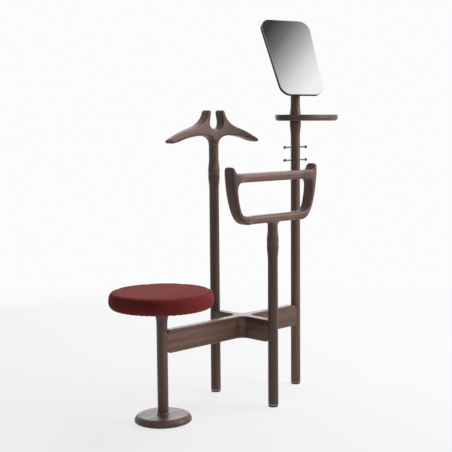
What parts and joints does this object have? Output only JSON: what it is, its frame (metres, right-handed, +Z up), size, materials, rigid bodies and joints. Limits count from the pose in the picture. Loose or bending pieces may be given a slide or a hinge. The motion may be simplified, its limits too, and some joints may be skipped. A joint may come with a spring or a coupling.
{
  "type": "valet stand",
  "caption": "Walnut valet stand with a round upholstered seat, swivelling coat hanger and trouser rack, turning tray, pegs and a tilting mirror.",
  "frame": {"origin": "centre of the disc foot's underside, on the floor under the seat post's axis", "axes": "+Z up, +X along the long beam from the seat post to the mirror post, +Y along the short beam from the rack post to the hanger post"},
  "size_m": [1.092, 0.368, 1.4378],
  "materials": {
    "walnut": "oiled satin, fine straight grain",
    "beech": "plain turned",
    "seat_fabric": "dense wool weave",
    "plywood": "sanded",
    "dust_cloth": "thin non-woven cloth",
    "black_steel": "fine powder coat",
    "gunmetal": "dark burnished",
    "steel": "zinc plated",
    "brass": "turned",
    "nylon": "natural",
    "glide_plastic": "smooth",
    "nickel": "satin plated",
    "foot_rubber": "matte",
    "mirror_silver": "polished, bevelled edge",
    "stained_board": "dark stained"
  },
  "bodies": {
    "base": {"seat_post": "walnut", "hanger_post": "walnut", "rack_post": "walnut", "mirror_post": "walnut", "long_beam": "walnut", "short_beam": "walnut", "loose_tenons": "beech", "disc_foot": "walnut", "disc_foot_pad": "foot_rubber", "foot_bolt": "steel", "foot_washer": "steel", "glides": "glide_plastic", "glide_rings": "nickel", "seat_cushion": "seat_fabric", "seat_board": "plywood", "seat_dust_cover": "dust_cloth", "seat_plate": "black_steel", "seat_bolt": "steel", "seat_plate_screws": "steel", "hanger_bush": "brass", "hanger_washer": "nylon", "rack_bush": "brass", "rack_washer": "nylon", "mirror_bush": "brass", "tray_lower_washer": "nylon", "peg_rods": "gunmetal", "peg_balls": "gunmetal"},
    "hanger_head": {"hanger_stem": "walnut", "hanger_arm_left": "walnut", "hanger_arm_right": "walnut", "hanger_dowels": "beech", "hanger_swivel_pin": "steel"},
    "trouser_rack": {"rack_stem": "walnut", "rack_bottom_bar": "walnut", "rack_top_bar": "walnut", "rack_upright_left": "walnut", "rack_upright_right": "walnut", "rack_dowels": "beech", "rack_swivel_pin": "steel"},
    "tray_unit": {"tray": "walnut", "tray_bush": "brass", "tray_upper_washer": "nylon"},
    "mirror_neck": {"mirror_stem": "walnut", "mirror_swivel_pin": "steel", "mirror_knuckle": "black_steel"},
    "mirror_head": {"mirror_glass": "mirror_silver", "mirror_backing": "stained_board", "mirror_bracket": "black_steel", "bracket_screws": "steel", "tilt_pin": "gunmetal", "tilt_washers": "nylon"}
  },
  "joints": [
    {"name": "hanger_swivel", "type": "hinge", "parent": "base", "child": "hanger_head", "pos_m": [0.394, 0.149, 0.848], "axis": [0, 0, 1], "continuous": true},
    {"name": "rack_swivel", "type": "hinge", "parent": "base", "child": "trouser_rack", "pos_m": [0.394, -0.1585, 0.603], "axis": [0, 0, 1], "continuous": true},
    {"name": "tray_swivel", "type": "hinge", "parent": "base", "child": "tray_unit", "pos_m": [0.691, 0, 1.046], "axis": [0, 0, 1], "continuous": true},
    {"name": "mirror_swivel", "type": "hinge", "parent": "base", "child": "mirror_neck", "pos_m": [0.691, 0, 1.071], "axis": [0, 0, 1], "continuous": true},
    {"name": "mirror_tilt", "type": "hinge", "parent": "mirror_neck", "child": "mirror_head", "pos_m": [0.691, 0, 1.21], "axis": [-0.9659, 0.2588, 0], "range_deg": [-18, 20]}
  ]
}
